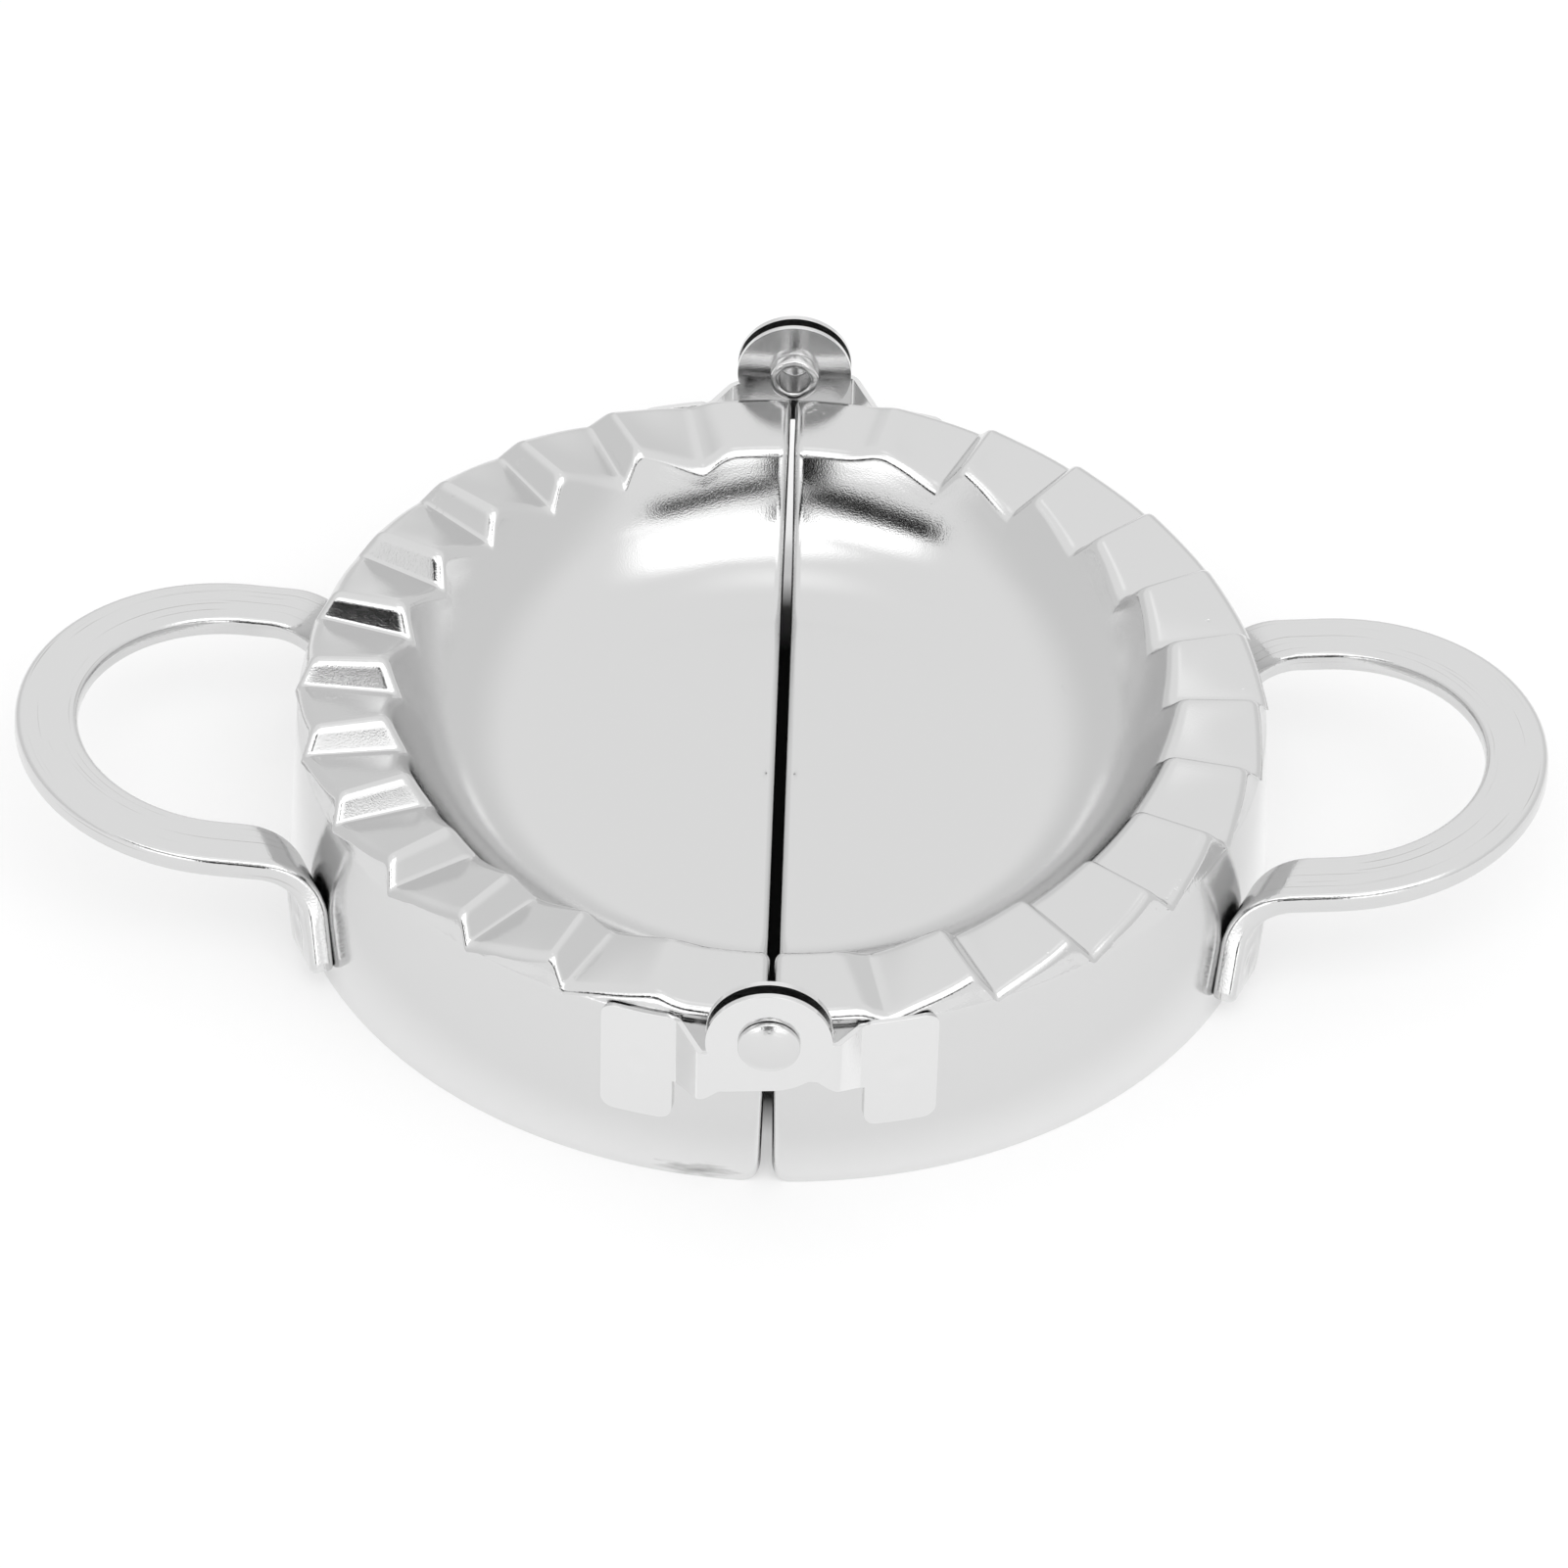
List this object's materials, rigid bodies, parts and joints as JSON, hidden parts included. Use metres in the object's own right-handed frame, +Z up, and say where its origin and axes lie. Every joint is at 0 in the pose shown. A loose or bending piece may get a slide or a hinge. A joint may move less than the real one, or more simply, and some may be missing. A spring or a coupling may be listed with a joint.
{
  "type": "empanada press",
  "caption": "Hinged metal dumpling and empanada press: two half-round dishes with a toothed rim and a cutting skirt, riveted ear hinges and flat-bar finger loops.",
  "frame": {"origin": "on the table, midway between the two halves", "axes": "+X from the left half to the right half's handle, +Y to the rear hinge, +Z up; the hinge line is parallel to Y"},
  "size_m": [0.1502, 0.1062, 0.0265],
  "materials": {
    "stamped_steel": "satin bright stainless sheet",
    "leaf_steel": "bright stainless sheet",
    "rivet_steel": "bright, slightly tumbled",
    "bar_steel": "rolled and lightly scratched"
  },
  "bodies": {
    "right_half": {"right_shell": "stamped_steel", "right_front_leaf": "leaf_steel", "right_back_leaf": "leaf_steel", "right_handle": "bar_steel", "front_rivet": "rivet_steel"},
    "left_half": {"left_shell": "stamped_steel", "left_front_leaf": "leaf_steel", "left_back_leaf": "leaf_steel", "left_handle": "bar_steel", "back_rivet": "rivet_steel"}
  },
  "joints": [
    {"name": "fold_hinge", "type": "hinge", "parent": "right_half", "child": "left_half", "pos_m": [0, 0, 0.0207], "axis": [0, 1, 0], "range_deg": [0, 180]}
  ]
}
